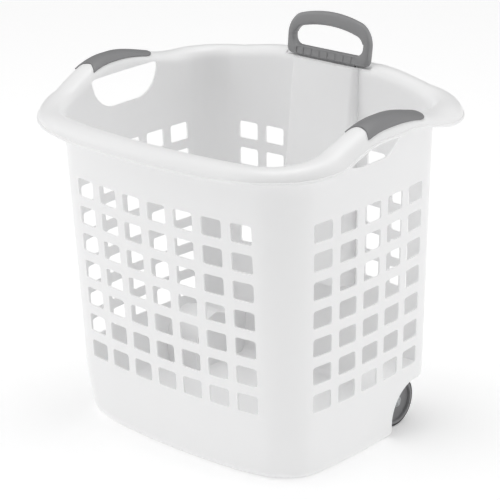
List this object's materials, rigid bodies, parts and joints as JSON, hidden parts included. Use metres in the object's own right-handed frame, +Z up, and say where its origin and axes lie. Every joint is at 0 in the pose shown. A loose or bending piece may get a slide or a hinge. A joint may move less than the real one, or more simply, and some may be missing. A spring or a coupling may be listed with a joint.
{
  "type": "wheeled laundry basket",
  "caption": "Perforated moulded basket on two rear wheels, with two rim grips and a pull handle that slides up from the back wall.",
  "frame": {"origin": "on the floor, under the middle of the basket's body", "axes": "+X to the basket's right, +Y to the back where the pull handle is, +Z up"},
  "size_m": [0.582, 0.4592, 0.5842],
  "materials": {
    "body_white": "satin",
    "grip_grey": "matte",
    "handle_grey": "satin",
    "wheel_grey": "satin",
    "tyre_black": "matte",
    "steel": "satin"
  },
  "bodies": {
    "body": {"basket": "body_white", "left_grip": "grip_grey", "right_grip": "grip_grey", "channel_cover": "body_white", "cover_screws": "steel", "left_axle_pin": "steel", "right_axle_pin": "steel", "left_push_nut": "steel", "right_push_nut": "steel"},
    "handle": {"pull_handle": "handle_grey", "handle_stop": "handle_grey"},
    "left_wheel": {"left_wheel": "wheel_grey", "left_tyre": "tyre_black"},
    "right_wheel": {"right_wheel": "wheel_grey", "right_tyre": "tyre_black"}
  },
  "joints": [
    {"name": "handle_slide", "type": "slide", "parent": "body", "child": "handle", "axis": [0, 0.1392, 0.9903], "range_m": [0, 0.24]},
    {"name": "left_wheel_spin", "type": "hinge", "parent": "body", "child": "left_wheel", "pos_m": [-0.2, 0.098, 0.04], "axis": [1, 0, 0], "continuous": true},
    {"name": "right_wheel_spin", "type": "hinge", "parent": "body", "child": "right_wheel", "pos_m": [0.2, 0.098, 0.04], "axis": [1, 0, 0], "continuous": true}
  ]
}
